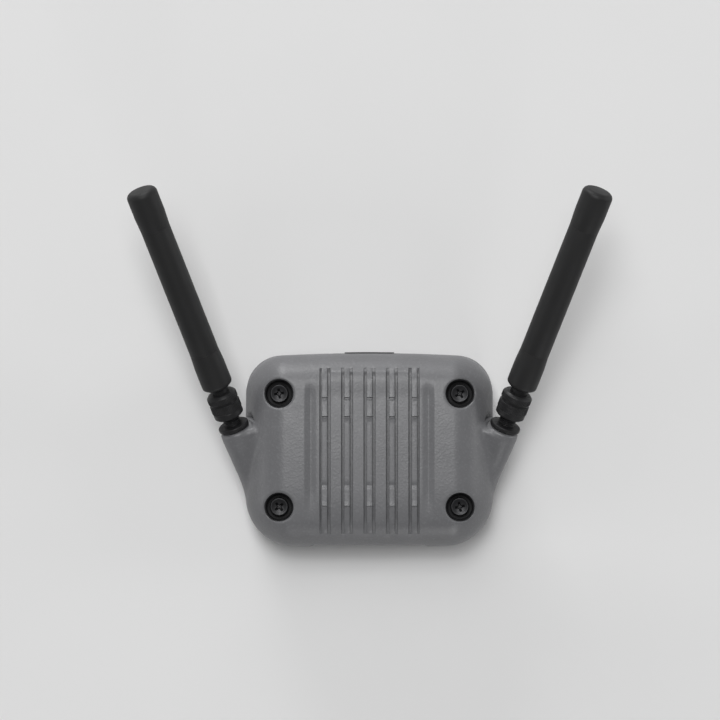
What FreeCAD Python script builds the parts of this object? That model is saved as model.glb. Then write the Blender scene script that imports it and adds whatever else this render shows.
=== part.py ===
import FreeCAD, Part
import os
import math
from FreeCAD import Vector as V

# Wireless receiver unit: a hand-sized grey housing in two shells, with a ribbed
# rear cover, two tubular antenna bosses and two screw-on antennas.
# Frame: millimetres, +Z up out of the ribbed rear cover, +Y towards the antennas,
# origin at the mouth of the stand thread in the middle of the base cover.

# ---------------------------------------------------------------- dimensions
HALF_W = 37.5          # half width of the body
Y_TOP = 29.0           # top side wall at the middle
Y_BOT = -29.9          # bottom side wall at the middle
R_TOP = 500.0          # bow of the top side wall
R_BOT = 800.0          # bow of the bottom side wall
C_TOP = 11.0           # plan corner radius, top
C_BOT = 14.0           # plan corner radius, bottom
Z_SPLIT = 5.5          # parting plane between base cover and rear cover
Z_TOP = 24.0           # rear cover panel
EDGE_R = 7.0           # rounding of the rear cover's rim
BEVEL_IN = 9.4         # bevel between rim and panel, measured inwards
BEVEL_DOWN = 2.4       # and downwards
BASE_R = 3.0           # rounding of the base cover's rim
WALL = 2.0             # side walls
Z_ROOF = 19.6          # inner face of the rear cover's panel
FLOOR = 2.4            # base cover's floor thickness

SCREW_X, SCREW_Y1, SCREW_Y2 = 27.2, 16.8, -17.3
POCKET_R = 4.3
SEAT_Z = 18.0          # screw head seat, on the floor of a rubber cup
CUP_R, CUP_BORE, CUP_TOP = 4.28, 3.95, 21.2
HEAD_R, HEAD_H = 2.85, 2.2
SHANK_R = 1.45
POST_R = 4.6
INSERT_R = 2.3

CH_OUT, CH_IN, CH_D = 19.05, 15.5, 0.8   # sunk rib panel: slope from/to, depth
GROOVES = [(0.85, 1.72), (5.02, 5.90), (7.60, 8.45), (11.75, 12.65), (14.35, 14.95)]
GROOVE_D = 1.3         # below the rib tops
GROOVE_Y = (-24.6, 23.7)
NARROW = [-13.5, -6.75, 0.0, 6.75, 13.5]
NARROW_W = 1.7

MX, MY, MZ = 40.8, 6.5, 17.2             # boss mouth centre (right hand side)
PLAN, TILT = 20.7, 20.5                  # antenna direction, degrees
BOSS_R = 4.55
BOSS_BORE = 3.3
BLEND_R = 3.5          # fillet between boss and body
RELIEF_R = 5.35        # room round the collar

COLLAR_R = 4.9
BARREL_R = 2.62
NUT_R = 4.72
NUT_T0, NUT_T1 = 3.9, 12.2
NUT_BORE = 2.68
CAP_R, SLEEVE_R = 4.66, 4.40
T_CAP, T_SLEEVE, T_TIP, T_END = 13.8, 26.0, 67.6, 80.2
FERRULE_R = 2.62

REC_HALF, REC_Y, REC_Z = 16.6, -29.1, 19.5   # connector recess in the bottom wall
JACK_X, USB_X, LIGHT_X = -8.2, 7.4, 0.0
BOARD_Z0, BOARD_Z1 = 5.4, 6.6
JACK_Z = 9.2
JACK_R = 1.8           # 3.5 mm audio plug
USB_Z = 8.3
POWER_Z, POWER_PROUD = 10.5, 0.3
PAIR_Y, PAIR_Z, PAIR_PROUD = -13.9, 8.0, 0.3
STAND_R = 2.6          # 1/4 inch stand thread, bored to its minor diameter
LEAD_X, LEAD_Y, LEAD_Z = 23.6, -10.8, 8.1

PITCH = 0.7056         # antenna thread


# ------------------------------------------------------------------- helpers
def box(x0, x1, y0, y1, z0, z1):
    return Part.makeBox(x1 - x0, y1 - y0, z1 - z0, V(x0, y0, z0))


def cyl(r, z0, z1, x=0.0, y=0.0):
    return Part.makeCylinder(r, z1 - z0, V(x, y, z0), V(0, 0, 1))


def cone(r0, r1, z0, z1, x=0.0, y=0.0):
    return Part.makeCone(r0, r1, z1 - z0, V(x, y, z0), V(0, 0, 1))


def save(shape, name):
    shape.exportStep("parts/%s.step" % name)
    print("%-26s solids %2d valid %s volume %10.2f" % (name, len(shape.Solids), shape.isValid(), shape.Volume))


def outline(off, z):
    """Body outline, inset by off: straight sides, bowed top and bottom, four corner arcs."""
    w, rt, rb, ct, cb = HALF_W - off, R_TOP - off, R_BOT - off, C_TOP - off, C_BOT - off
    tc = V(0, Y_TOP - R_TOP, z)                      # centre of the top bow
    bc = V(0, Y_BOT + R_BOT, z)
    cx1, cx2 = HALF_W - C_TOP, HALF_W - C_BOT
    cy1 = tc.y + math.sqrt((R_TOP - C_TOP) ** 2 - cx1 ** 2)
    cy2 = bc.y - math.sqrt((R_BOT - C_BOT) ** 2 - cx2 ** 2)

    def on(c, r, ang):
        return V(c.x + r * math.cos(ang), c.y + r * math.sin(ang), z)

    a1 = math.atan2(cy1 - tc.y, cx1)                 # where bow and corner meet
    a2 = math.atan2(cy2 - bc.y, cx2)
    c1, c1m = V(cx1, cy1, z), V(-cx1, cy1, z)
    c2, c2m = V(cx2, cy2, z), V(-cx2, cy2, z)
    p = [
        on(c1, ct, 0), on(c1, ct, a1 / 2), on(c1, ct, a1),
        V(0, tc.y + rt, z),
        on(c1m, ct, math.pi - a1), on(c1m, ct, math.pi - a1 / 2), on(c1m, ct, math.pi),
        on(c2m, cb, math.pi), on(c2m, cb, math.pi - a2 / 2), on(c2m, cb, math.pi - a2),
        V(0, bc.y - rb, z),
        on(c2, cb, a2), on(c2, cb, a2 / 2), on(c2, cb, 0),
    ]
    e = [
        Part.Arc(p[0], p[1], p[2]).toShape(), Part.Arc(p[2], p[3], p[4]).toShape(),
        Part.Arc(p[4], p[5], p[6]).toShape(), Part.LineSegment(p[6], p[7]).toShape(),
        Part.Arc(p[7], p[8], p[9]).toShape(), Part.Arc(p[9], p[10], p[11]).toShape(),
        Part.Arc(p[11], p[12], p[13]).toShape(), Part.LineSegment(p[13], p[0]).toShape(),
    ]
    return Part.Wire(e)


def prism(off, z0, z1):
    return Part.Face(outline(off, z0)).extrude(V(0, 0, z1 - z0))


def edges_at(shape, z, tol=1e-4):
    return [e for e in shape.Edges if abs(e.BoundBox.ZMin - z) < tol and abs(e.BoundBox.ZMax - z) < tol]


def axis(side):
    p, t = math.radians(PLAN), math.radians(TILT)
    return V(side * math.sin(p) * math.cos(t), math.cos(p) * math.cos(t), math.sin(t))


def placement(side):
    """Local +Z runs along the antenna, local origin is the boss mouth centre."""
    a = axis(side)
    up = V(0, 0, 1)
    y = (up - a * up.dot(a)).normalize()
    x = y.cross(a)
    m = FreeCAD.Matrix(x.x, y.x, a.x, side * MX, x.y, y.y, a.y, MY, x.z, y.z, a.z, MZ, 0, 0, 0, 1)
    return FreeCAD.Placement(m)


def at(shape, side):
    s = shape.copy()
    s.Placement = placement(side)
    return s


def turned(points):
    """Solid of revolution about Z from (r, z) points."""
    w = Part.makePolygon([V(r, 0, z) for r, z in points + points[:1]])
    return Part.Face(w).revolve(V(0, 0, 0), V(0, 0, 1), 360)


SIDES = (("left", -1), ("right", 1))

# ---------------------------------------------------------------- rear cover
outer = prism(0, Z_SPLIT, Z_TOP)
outer = outer.makeChamfer(BEVEL_DOWN, BEVEL_IN, edges_at(outer, Z_TOP))
outer = outer.makeFillet(EDGE_R, edges_at(outer, Z_TOP - BEVEL_DOWN))

# antenna bosses, moulded into the side walls and blended with a soft fillet
bosses = []
for name, side in SIDES:
    b = Part.makeCone(BOSS_R, BOSS_R + 0.45, 28, V(0, 0, 0), V(0, 0, -1))
    b = b.makeFillet(0.45, [e for e in b.Edges if abs(e.BoundBox.ZMin) < 1e-4 and abs(e.BoundBox.ZMax) < 1e-4])
    bosses.append(at(b, side))
shell = outer.fuse([b.common(box(-60, 60, -60, 60, Z_SPLIT, 40)) for b in bosses]).removeSplitter()


def junction(shape):
    """Edges where a boss's cone meets the body, without the boss's own mouth and foot."""
    found = []
    for e in shape.Edges:
        faces = shape.ancestorsOfType(e, Part.Face)
        boss = [f for f in faces if type(f.Surface).__name__ == "Cone" and abs(abs(f.Surface.SemiAngle) - math.atan(0.45 / 28)) < 1e-3]
        if len(boss) != 1 or len(faces) != 2 or e.BoundBox.ZMin < Z_SPLIT + 0.5:
            continue
        other = [f for f in faces if not f.isSame(boss[0])][0]
        if type(other.Surface).__name__ == "Toroid" and other.Surface.MinorRadius < 1:
            continue
        found.append(e)
    return found


shell = shell.makeFillet(BLEND_R, junction(shell))
# room for the collar and the nut beside the body wall
for name, side in SIDES:
    shell = shell.cut(at(Part.makeCylinder(RELIEF_R, 14, V(0, 0, -0.01), V(0, 0, 1)), side))

# sunk panel between the side flats, grooves between the ribs
z1 = Z_TOP
w = Part.makePolygon([V(-CH_OUT, -40, z1), V(-CH_IN, -40, z1 - CH_D), V(CH_IN, -40, z1 - CH_D),
                      V(CH_OUT, -40, z1), V(CH_OUT, -40, z1 + 5), V(-CH_OUT, -40, z1 + 5), V(-CH_OUT, -40, z1)])
shell = shell.cut(Part.Face(w).extrude(V(0, 80, 0)))
rib_z = Z_TOP - CH_D
floor_z = rib_z - GROOVE_D
cuts = []
for a, b in GROOVES:
    for s in (-1, 1):
        x0, x1 = sorted((s * a, s * b))
        y0, y1 = GROOVE_Y
        w = Part.makePolygon([V(x0, y0, rib_z + 2), V(x0, y0, rib_z - 0.3), V(x0, y0 + 1.2, floor_z), V(x0, y1 - 1.2, floor_z),
                              V(x0, y1, rib_z - 0.3), V(x0, y1, rib_z + 2), V(x0, y0, rib_z + 2)])
        cuts.append(Part.Face(w).extrude(V(x1 - x0, 0, 0)))
shell = shell.cut(cuts)
# narrow ribs: a stepped top, in segments that each rise towards their lower end
narrow = []
top = [(22.6, -0.9), (20.7, -0.05), (15.6, 0.42), (15.45, -0.25), (14.9, -0.25), (14.75, 0.05), (9.95, 0.42), (9.85, -0.15),
       (9.55, -0.15), (9.45, 0.38), (8.6, 0.2), (-9.9, 0.1), (-10.5, -0.25), (-11.2, -0.25), (-11.4, 0.0), (-17.0, 0.5),
       (-17.1, -0.1), (-21.0, -0.9)]
for c in NARROW:
    pts = [V(c - NARROW_W / 2, y, rib_z + d) for y, d in top]
    pts = [V(c - NARROW_W / 2, 22.6, rib_z - 1.0)] + pts + [V(c - NARROW_W / 2, -21.0, rib_z - 1.0)]
    narrow.append((c, pts))
for c, pts in narrow:
    # take the strip down to below its lowest step, then put the profile back
    shell = shell.cut(box(c - NARROW_W / 2, c + NARROW_W / 2, -21.0, 22.6, rib_z - 1.0, rib_z + 2))
    shell = shell.fuse(Part.Face(Part.makePolygon(pts + pts[:1])).extrude(V(NARROW_W, 0, 0)))
shell = shell.removeSplitter()

# connector recess: a flat cut across the bottom wall, with sloping ends
recess = Part.Face(Part.makePolygon([V(-REC_HALF - 1.5, Y_BOT - 0.1, -1), V(-REC_HALF, REC_Y, -1), V(REC_HALF, REC_Y, -1),
                                     V(REC_HALF + 1.5, Y_BOT - 0.1, -1), V(REC_HALF + 1.5, Y_BOT - 3, -1),
                                     V(-REC_HALF - 1.5, Y_BOT - 3, -1), V(-REC_HALF - 1.5, Y_BOT - 0.1, -1)])).extrude(V(0, 0, 30))
shell = shell.cut(recess)

# inside
cavity = prism(WALL, Z_SPLIT, Z_ROOF)
cavity = cavity.makeFillet(5.0, edges_at(cavity, Z_ROOF))
cavity = cavity.fuse(prism(WALL, Z_SPLIT - 1, Z_SPLIT))
posts = [cyl(5.3, 16.0, Z_ROOF + 0.5, sx * SCREW_X, y).fuse(cyl(3.6, 9.1, 16.0, sx * SCREW_X, y))
         for sx in (-1, 1) for y in (SCREW_Y1, SCREW_Y2)]
for p in posts:
    cavity = cavity.cut(p)
shell = shell.cut(cavity)
for sx in (-1, 1):
    for y in (SCREW_Y1, SCREW_Y2):
        shell = shell.cut(cyl(POCKET_R, SEAT_Z - 0.5, Z_TOP + 2, sx * SCREW_X, y))
        shell = shell.cut(cyl(1.7, 9.0, SEAT_Z + 0.1, sx * SCREW_X, y))
for name, side in SIDES:
    shell = shell.cut(at(Part.makeCylinder(BOSS_BORE, 17.0, V(0, 0, -18.6), V(0, 0, 1)), side))
    shell = shell.cut(at(Part.makeCylinder(2.70, 4, V(0, 0, -2), V(0, 0, 1)), side))
# wall openings
jack_hole = Part.makeCylinder(3.1, 4, V(JACK_X, Y_BOT - 1, JACK_Z), V(0, 1, 0))
usb_hole = box(USB_X - 4.75, USB_X + 4.75, Y_BOT - 1, Y_BOT + 3, USB_Z - 1.9, USB_Z + 1.9)
usb_hole = usb_hole.makeFillet(1.6, [e for e in usb_hole.Edges if abs(e.BoundBox.XLength) < 1e-6 and abs(e.BoundBox.ZLength) < 1e-6])
light_hole = Part.makeCylinder(0.95, 4, V(LIGHT_X, Y_BOT - 1, JACK_Z), V(0, 1, 0))
power_hole = box(-7.9, 7.9, Y_TOP - 3, Y_TOP + 1, POWER_Z - 2.5, POWER_Z + 2.5)
power_hole = power_hole.makeFillet(2.2, [e for e in power_hole.Edges if abs(e.BoundBox.XLength) < 1e-6 and abs(e.BoundBox.ZLength) < 1e-6])
shell = shell.cut([jack_hole, usb_hole, light_hole, power_hole])


def key(x0, x1, half_y, half_z, r):
    s = box(x0, x1, PAIR_Y - half_y, PAIR_Y + half_y, PAIR_Z - half_z, PAIR_Z + half_z)
    return s.makeFillet(r, [e for e in s.Edges if abs(e.BoundBox.YLength) < 1e-6 and abs(e.BoundBox.ZLength) < 1e-6])


shell = shell.cut(key(HALF_W - 4, HALF_W + 3, 2.05, 1.15, 1.1))
save(shell, "rear_cover")

# ---------------------------------------------------------------- base cover
base = prism(0, 0, Z_SPLIT)
base = base.makeFillet(BASE_R, edges_at(base, 0))
base = base.cut(recess)
base = base.cut(prism(WALL, FLOOR, Z_SPLIT + 1))
add = [cyl(6.0, 0, 9.0)]
add += [cyl(3.6, 1.0, 8.95, sx * SCREW_X, y) for sx in (-1, 1) for y in (SCREW_Y1, SCREW_Y2)]
BOARD_SCREWS = [(-15, 13.5), (15, 13.5), (-15, -12.5), (15, -12.5)]
add += [cyl(2.6, 1.0, BOARD_Z0 - 0.02, x, y) for x, y in BOARD_SCREWS]
base = base.fuse(add).removeSplitter()
cut = [cyl(4.2, -1, 8.0)]
for sx in (-1, 1):
    for y in (SCREW_Y1, SCREW_Y2):
        cut += [cyl(INSERT_R, 3.7, 9.5, sx * SCREW_X, y), cyl(1.6, 2.6, 3.8, sx * SCREW_X, y)]
cut += [cyl(0.97, 1.4, BOARD_Z0 + 1, x, y) for x, y in BOARD_SCREWS]
FEET = [(-25.5, 17.5), (25.5, 17.5), (-25.5, -18.0), (25.5, -18.0)]
cut += [cyl(4.2, -1, 0.6, x, y) for x, y in FEET]
cut += [prism(0.7, Z_SPLIT - 0.5, Z_SPLIT + 1).cut(prism(1.3, Z_SPLIT - 0.6, Z_SPLIT + 1.1)).cut(box(-REC_HALF - 3, REC_HALF + 3, Y_BOT - 1, Y_BOT + 4, 0, 9))]
base = base.cut(cut)
save(base, "base_cover")

gasket = prism(0.72, Z_SPLIT - 0.5, Z_SPLIT).cut(prism(1.28, Z_SPLIT - 0.6, Z_SPLIT + 0.1))
gasket = gasket.cut(box(-REC_HALF - 3.05, REC_HALF + 3.05, Y_BOT - 1, Y_BOT + 4, 0, 9))
save(gasket, "seam_gasket")
feet = []
for x, y in FEET:
    f = cyl(4.0, -0.8, 0.58, x, y)
    feet.append(f.makeFillet(0.35, edges_at(f, -0.8)))
save(Part.makeCompound(feet), "rubber_feet")
save(cyl(4.19, 0, 8.0).cut(cyl(STAND_R, -1, 9)), "stand_insert")

# ------------------------------------------------------------------- screws
heads, inserts = [], []
for (sx, y), ang in zip([(-1, SCREW_Y1), (1, SCREW_Y1), (-1, SCREW_Y2), (1, SCREW_Y2)], (8, 32, 4, 12)):
    x = sx * SCREW_X
    h = HEAD_H
    prof = [(0, SEAT_Z), (HEAD_R, SEAT_Z), (HEAD_R, SEAT_Z + 0.9), (HEAD_R - 0.25, SEAT_Z + 1.45), (HEAD_R - 0.9, SEAT_Z + 1.95),
            (HEAD_R - 1.7, SEAT_Z + h), (0, SEAT_Z + h)]
    head = turned(prof)
    head.translate(V(x, y, 0))
    screw = head.fuse(cyl(SHANK_R, 4.6, SEAT_Z + 0.1, x, y))
    for k in (0, 90):
        bar = box(-1.75, 1.75, -0.38, 0.38, SEAT_Z + 0.95, SEAT_Z + 3)
        bar.rotate(V(0, 0, 0), V(0, 0, 1), ang + k)
        bar.translate(V(x, y, 0))
        screw = screw.cut(bar)
    heads.append(screw)
    inserts.append(cyl(INSERT_R - 0.01, 3.72, 8.7, x, y).cut(cyl(1.52, 3, 9, x, y)))
save(Part.makeCompound(heads), "cover_screws")
cups = []
for sx in (-1, 1):
    for y in (SCREW_Y1, SCREW_Y2):
        cup = cyl(CUP_R, SEAT_Z - 0.5, CUP_TOP, sx * SCREW_X, y).cut(cyl(CUP_BORE, SEAT_Z, CUP_TOP + 1, sx * SCREW_X, y))
        cups.append(cup.cut(cyl(1.6, SEAT_Z - 1, SEAT_Z + 1, sx * SCREW_X, y)))
save(Part.makeCompound(cups), "screw_cups")
save(Part.makeCompound(inserts), "screw_inserts")

# -------------------------------------------------------------- circuit board
board = prism(2.5, BOARD_Z0, BOARD_Z1)
board = board.cut([cyl(6.4, 0, 12)] + [cyl(4.0, 0, 12, sx * SCREW_X, y) for sx in (-1, 1) for y in (SCREW_Y1, SCREW_Y2)]
                  + [cyl(1.1, 0, 12, x, y) for x, y in BOARD_SCREWS] + [box(-9.0, 9.0, Y_TOP - 5.2, Y_TOP, 0, 12)])
save(board, "main_board")
small = []
for x, y in BOARD_SCREWS:
    s = cyl(1.8, BOARD_Z1 + 0.01, BOARD_Z1 + 1.3, x, y).fuse(cyl(0.95, 1.6, BOARD_Z1 + 0.5, x, y))
    s = s.cut(box(-1.1, 1.1, -0.22, 0.22, BOARD_Z1 + 0.7, BOARD_Z1 + 2).translated(V(x, y, 0)))
    s = s.cut(box(-0.22, 0.22, -1.1, 1.1, BOARD_Z1 + 0.7, BOARD_Z1 + 2).translated(V(x, y, 0)))
    small.append(s)
save(Part.makeCompound(small), "board_screws")
z = BOARD_Z1 + 0.01
cans, chips = [], []
for sx in (-1, 1):
    x0, x1 = sorted((sx * 9.5, sx * 29.5))
    cans.append(box(x0, x1, -8.6, 9.0, z, z + 3.0).cut(box(x0 + 0.4, x1 - 0.4, -8.2, 8.6, z - 1, z + 2.6)))
    chips.append(box(sx * 19.5 - 5, sx * 19.5 + 5, -5, 5, z, z + 1.1))
save(Part.makeCompound(cans), "radio_shields")
save(Part.makeCompound(chips), "radio_chips")

tray_z = z + 3.1
tray = box(-22.5, 22.5, -13.6, 19.5, tray_z, tray_z + 2.4).cut(box(-21.3, 21.3, -12.4, 18.3, tray_z + 1.0, tray_z + 5))
save(tray, "battery_tray")
bat = box(-21.0, 21.0, -12.1, 18.0, tray_z + 1.02, Z_ROOF - 1.62)
bat = bat.makeFillet(1.2, [e for e in bat.Edges if e.BoundBox.ZLength < 1e-6])
save(bat, "battery")
save(box(-18, 18, -9, 15.0, Z_ROOF - 1.60, Z_ROOF - 0.02), "battery_pad")

# ------------------------------------------------------- connectors in the recess
jy = REC_Y + 0.1
jack = Part.makeCylinder(2.9, 1.6, V(JACK_X, jy, JACK_Z), V(0, 1, 0))
jack = jack.fuse(box(JACK_X - 3.3, JACK_X + 3.3, jy + 1.4, jy + 14.2, z, JACK_Z + 2.6))
jack = jack.cut(Part.makeCylinder(JACK_R, 13.2, V(JACK_X, jy - 0.1, JACK_Z), V(0, 1, 0)))
save(jack, "audio_jack")
uy = REC_Y + 0.15


def slot_shape(hx, hz, r, y0, y1):
    s = box(USB_X - hx, USB_X + hx, y0, y1, USB_Z - hz, USB_Z + hz)
    return s.makeFillet(r, [e for e in s.Edges if abs(e.BoundBox.XLength) < 1e-6 and abs(e.BoundBox.ZLength) < 1e-6])


save(slot_shape(4.47, 1.63, 1.5, uy, uy + 7.6).cut(slot_shape(4.17, 1.33, 1.2, uy - 1, uy + 6.4)), "charging_socket")
save(box(USB_X - 3.35, USB_X + 3.35, uy + 0.6, uy + 6.38, USB_Z - 0.35, USB_Z + 0.35), "charging_tongue")
save(Part.makeCylinder(0.9, 3.6, V(LIGHT_X, REC_Y + 0.02, JACK_Z), V(0, 1, 0)), "status_light_pipe")
save(box(LIGHT_X - 0.8, LIGHT_X + 0.8, REC_Y + 3.7, REC_Y + 5.2, z, JACK_Z + 0.8), "status_led")

# -------------------------------------------------------------------- buttons
pw = box(-7.6, 7.6, Y_TOP - 2.25, Y_TOP + POWER_PROUD, POWER_Z - 2.2, POWER_Z + 2.2)
pw = pw.makeFillet(1.9, [e for e in pw.Edges if abs(e.BoundBox.XLength) < 1e-6 and abs(e.BoundBox.ZLength) < 1e-6])
pw = pw.fuse(box(-8.6, 8.6, Y_TOP - 3.1, Y_TOP - 2.24, POWER_Z - 3.1, POWER_Z + 3.1))
pw = pw.fuse(box(-2.0, 2.0, Y_TOP - 3.9, Y_TOP - 3.09, POWER_Z - 1.2, POWER_Z + 1.2)).removeSplitter()
save(pw, "power_button")
sw_y = Y_TOP - 3.9
stem = Part.makeCylinder(1.0, 1.6, V(0, sw_y - 0.02 - 1.6, POWER_Z), V(0, 1, 0))
save(stem, "power_switch_stem")
psw = box(-3.0, 3.0, sw_y - 4.8, sw_y - 0.75, z, POWER_Z + 2.0)
psw = psw.cut(Part.makeCylinder(1.06, 3.0, V(0, sw_y - 3.2, POWER_Z), V(0, 1, 0)))
save(psw, "power_switch")

pb = key(HALF_W - 2.35, HALF_W + PAIR_PROUD, 1.8, 0.9, 0.85)
pb = pb.fuse(key(HALF_W - 3.2, HALF_W - 2.34, 2.8, 1.3, 0.5)).removeSplitter()
save(pb, "pairing_button")
px = HALF_W - 3.2
save(Part.makeCylinder(0.6, 1.5, V(px - 0.02 - 1.5, PAIR_Y, PAIR_Z), V(1, 0, 0)), "pairing_switch_stem")
qs = box(px - 3.4, px - 0.75, PAIR_Y - 1.7, PAIR_Y + 1.7, z, PAIR_Z + 1.4)
qs = qs.cut(Part.makeCylinder(0.66, 3.0, V(px - 3.0, PAIR_Y, PAIR_Z), V(1, 0, 0)))
save(qs, "pairing_switch")

# ------------------------------------------------------ antenna jacks and antennas
collar = turned([(2.68, 0.05), (COLLAR_R - 0.3, 0.05), (COLLAR_R, 0.35), (COLLAR_R, 0.85), (COLLAR_R - 0.35, 1.25), (2.68, 1.25)])
barrel = turned([(2.05, -6.2), (2.5, -6.2), (2.5, -3.2), (3.22, -3.2), (3.22, -1.65), (BARREL_R, -1.65), (BARREL_R, 9.6), (BARREL_R - 0.3, 9.9), (2.05, 9.9)])
jack_insulator = turned([(0.65, -6.0), (2.04, -6.0), (2.04, 9.2), (0.65, 9.2)])
jack_contact = turned([(0, -6.6), (0.64, -6.6), (0.64, 9.0), (0.43, 9.0), (0.43, 4.2), (0, 4.2)])
g0, g1 = 9.0, 9.65
nut = turned([(NUT_BORE, NUT_T0), (NUT_R - 0.75, NUT_T0), (NUT_R, NUT_T0 + 0.6), (NUT_R, g0), (NUT_R - 0.5, g0 + 0.12), (NUT_R - 0.5, g1 - 0.12),
              (NUT_R, g1), (NUT_R, NUT_T1 - 0.6), (NUT_R - 0.75, NUT_T1), (NUT_BORE, NUT_T1), (NUT_BORE, 11.25), (3.5, 11.25), (3.5, 10.0), (NUT_BORE, 10.0)])
ring = turned([(2.15, 10.35), (3.3, 10.35), (3.3, 10.95), (2.15, 10.95)])
ring = ring.cut(box(-0.5, 0.5, 0, 5, 10, 11.5))
ferrule = turned([(1.6, 10.05), (FERRULE_R, 10.05), (FERRULE_R, 10.3), (2.1, 10.3), (2.1, 11.0), (FERRULE_R, 11.0), (FERRULE_R, T_CAP + 0.3), (2.2, T_CAP + 0.3), (2.2, 20.0), (1.6, 20.0)])
plug_insulator = turned([(0.41, 10.2), (1.59, 10.2), (1.59, 19.9), (0.41, 19.9)])
pin = turned([(0, 4.7), (0.2, 4.5), (0.4, 5.0), (0.4, 20.4), (0, 20.4)])
lower_cap = turned([(2.21, T_CAP + 0.32), (FERRULE_R + 0.03, T_CAP + 0.32), (FERRULE_R + 0.03, T_CAP), (CAP_R - 1.0, T_CAP), (CAP_R - 0.25, T_CAP + 0.45), (CAP_R, T_CAP + 1.1),
                    (CAP_R, T_SLEEVE - 0.5), (CAP_R - 0.15, T_SLEEVE - 0.3), (4.1, T_SLEEVE - 0.3), (4.1, T_SLEEVE - 0.02), (3.55, T_SLEEVE - 0.02), (3.55, 29.0), (2.6, 29.0), (2.6, 21.5), (2.21, 21.5)])
sleeve = turned([(3.57, T_SLEEVE), (SLEEVE_R, T_SLEEVE), (SLEEVE_R, T_TIP - 0.02), (3.57, T_TIP - 0.02)])
tip = turned([(0, 64.4), (3.55, 64.4), (3.55, T_TIP), (SLEEVE_R, T_TIP), (CAP_R, T_TIP + 0.7), (CAP_R, T_END - 1.35), (CAP_R - 0.18, T_END - 0.68), (CAP_R - 0.68, T_END - 0.18), (CAP_R - 1.35, T_END), (0, T_END)])
radiator = turned([(0, 20.42), (0.6, 20.42), (0.6, 30.0), (2.2, 30.0), (2.2, 46.0), (1.8, 46.0), (1.8, 30.8), (0.6, 30.8), (0.6, 63.5), (0, 63.5)])
for name, side in SIDES:
    for shape, part in ((collar, "jack_collar"), (barrel, "jack_barrel"), (jack_insulator, "jack_insulator"), (jack_contact, "jack_contact"),
                        (nut, "coupling_nut"), (ring, "retaining_ring"), (ferrule, "antenna_ferrule"), (plug_insulator, "plug_insulator"),
                        (pin, "plug_pin"), (lower_cap, "antenna_lower_cap"), (sleeve, "antenna_sleeve"), (tip, "antenna_tip_cap"), (radiator, "antenna_radiator")):
        save(at(shape, side), "%s_%s" % (part, name))

# --------------------------------------------------------------- coaxial leads
def lead(points, r):
    """Straight runs joined by tangent arcs; the arcs take 0.45 of the shorter run."""
    edges, here = [], points[0]
    for i in range(1, len(points) - 1):
        a, b, c = points[i - 1], points[i], points[i + 1]
        u, v = (a - b), (c - b)
        la, lc = u.Length, v.Length
        u, v = u / la, v / lc
        turn = math.pi - math.acos(max(-1, min(1, u.dot(v))))
        cut_len = 0.45 * min(la, lc)
        radius = cut_len / math.tan(turn / 2)
        p, q = b + u * cut_len, b + v * cut_len
        mid_dir = (u + v).normalize()
        centre = b + mid_dir * (radius / math.cos(turn / 2))
        mid = centre - mid_dir * radius
        edges += [Part.LineSegment(here, p).toShape(), Part.Arc(p, mid, q).toShape()]
        print("lead bend: radius %.2f for diameter %.2f" % (radius, 2 * r))
        here = q
    edges.append(Part.LineSegment(here, points[-1]).toShape())
    path = Part.Wire(edges)
    start = (points[1] - points[0]).normalize()
    disc = Part.Wire(Part.makeCircle(r, points[0], start))
    tube = path.makePipeShell([disc], True, False)
    print("lead: length %.2f, volume %.3f, section x length %.3f" % (path.Length, tube.Volume, math.pi * r * r * path.Length))
    return tube


plugs, sockets = [], []
for name, side in SIDES:
    place = placement(side)
    pts = [place.multVec(V(0, 0, -6.62)), place.multVec(V(0, 0, -12.5)), place.multVec(V(0, 0, -18.2) + V(0, -0.3, 0)),
           V(side * 30.2, LEAD_Y + 0.1, LEAD_Z + 0.5), V(side * LEAD_X, LEAD_Y, LEAD_Z)]
    save(lead(pts, 0.65), "coax_lead_" + name)
    x = side * 21.5
    p = cyl(1.5, BOARD_Z1 + 0.7, LEAD_Z + 0.8, x, LEAD_Y)
    x0, x1 = sorted((x, side * (LEAD_X - 0.06)))
    p = p.fuse(box(x0, x1, LEAD_Y - 0.8, LEAD_Y + 0.8, LEAD_Z - 0.8, LEAD_Z + 0.8))
    plugs.append(p)
    sockets.append(cyl(1.3, BOARD_Z1 + 0.01, BOARD_Z1 + 0.69, x, LEAD_Y))
save(Part.makeCompound(plugs), "coax_plugs")
save(Part.makeCompound(sockets), "board_sockets")
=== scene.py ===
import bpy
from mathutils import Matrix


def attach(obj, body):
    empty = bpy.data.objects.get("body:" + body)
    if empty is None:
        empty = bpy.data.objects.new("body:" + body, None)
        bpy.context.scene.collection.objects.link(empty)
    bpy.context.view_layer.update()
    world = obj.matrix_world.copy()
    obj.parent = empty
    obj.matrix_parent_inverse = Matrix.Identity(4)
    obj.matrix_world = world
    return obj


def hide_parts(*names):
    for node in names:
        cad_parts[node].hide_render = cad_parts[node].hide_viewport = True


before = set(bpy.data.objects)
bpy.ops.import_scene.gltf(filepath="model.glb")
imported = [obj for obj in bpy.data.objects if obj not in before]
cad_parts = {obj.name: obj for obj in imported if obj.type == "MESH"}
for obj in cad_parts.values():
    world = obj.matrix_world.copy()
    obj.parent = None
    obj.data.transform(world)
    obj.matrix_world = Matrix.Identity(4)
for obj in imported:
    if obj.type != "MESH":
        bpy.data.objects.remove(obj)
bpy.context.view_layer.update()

import math
import bpy
import bmesh
import numpy as np
import openvdb as vdb
from mathutils import Matrix, Vector

MM = 0.001
scene = bpy.context.scene

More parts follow.
